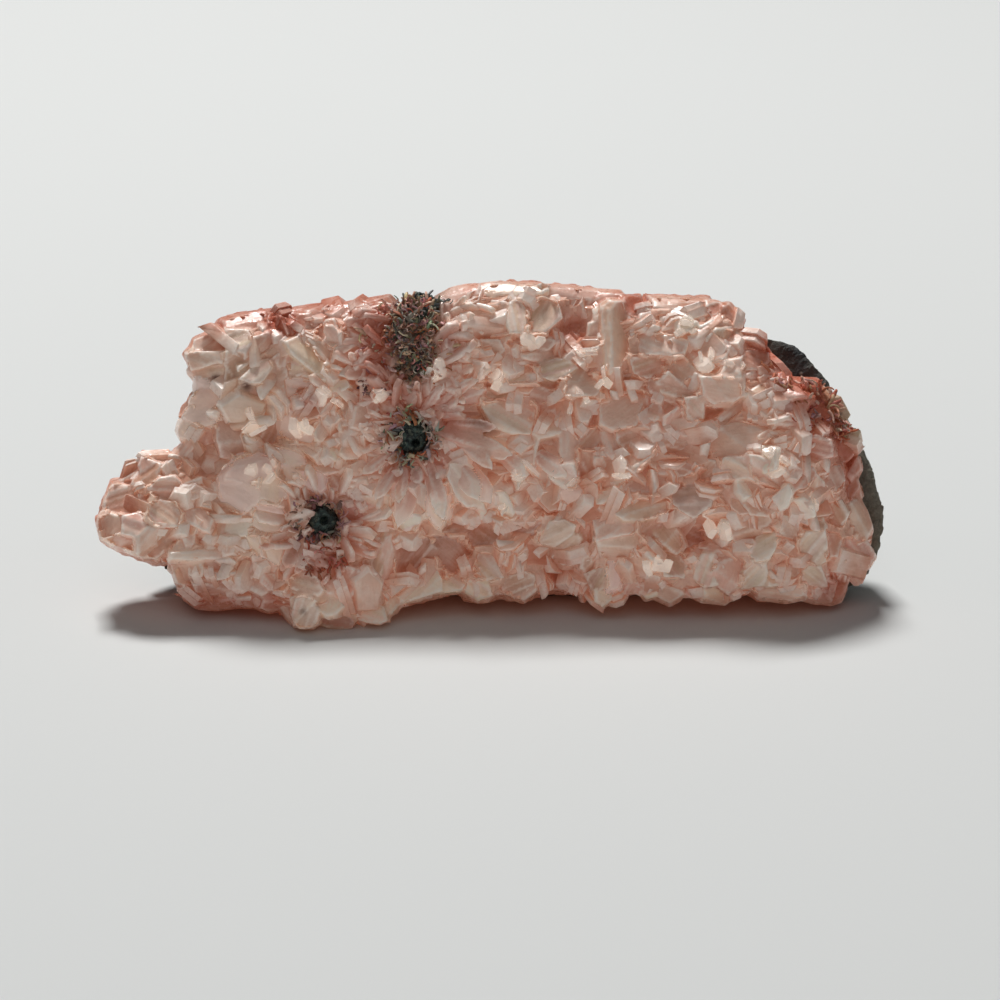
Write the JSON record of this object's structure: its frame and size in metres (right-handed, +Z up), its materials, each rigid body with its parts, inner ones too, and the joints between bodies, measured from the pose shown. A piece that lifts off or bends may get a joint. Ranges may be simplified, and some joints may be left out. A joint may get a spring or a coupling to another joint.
{
  "type": "heulandite cluster",
  "caption": "Hand specimen of salmon-pink heulandite: a crust of tabular and blade crystals sprayed round dark green cores, on a slab of grey-green basalt, standing on its lower edge.",
  "frame": {"origin": "middle of the flat cut that the basalt rests on, at the floor", "axes": "+X to the right along the specimen's length, +Y away from the crystal face, +Z up"},
  "size_m": [0.1208, 0.0392, 0.0482],
  "materials": {
    "heulandite": "vitreous to pearly crystal faces, translucent salmon pink with pale edges and brick-red roots",
    "basalt": "matte, broken, fine-grained dark grey-green rock with small pale amygdules",
    "celadonite": "earthy, spongy dark green with pale shards"
  },
  "bodies": {
    "root": {"heulandite_crust": "heulandite", "basalt_matrix": "basalt", "celadonite_core_top": "celadonite", "celadonite_core_upper": "celadonite", "celadonite_core_middle": "celadonite", "celadonite_core_lower": "celadonite"}
  },
  "joints": []
}
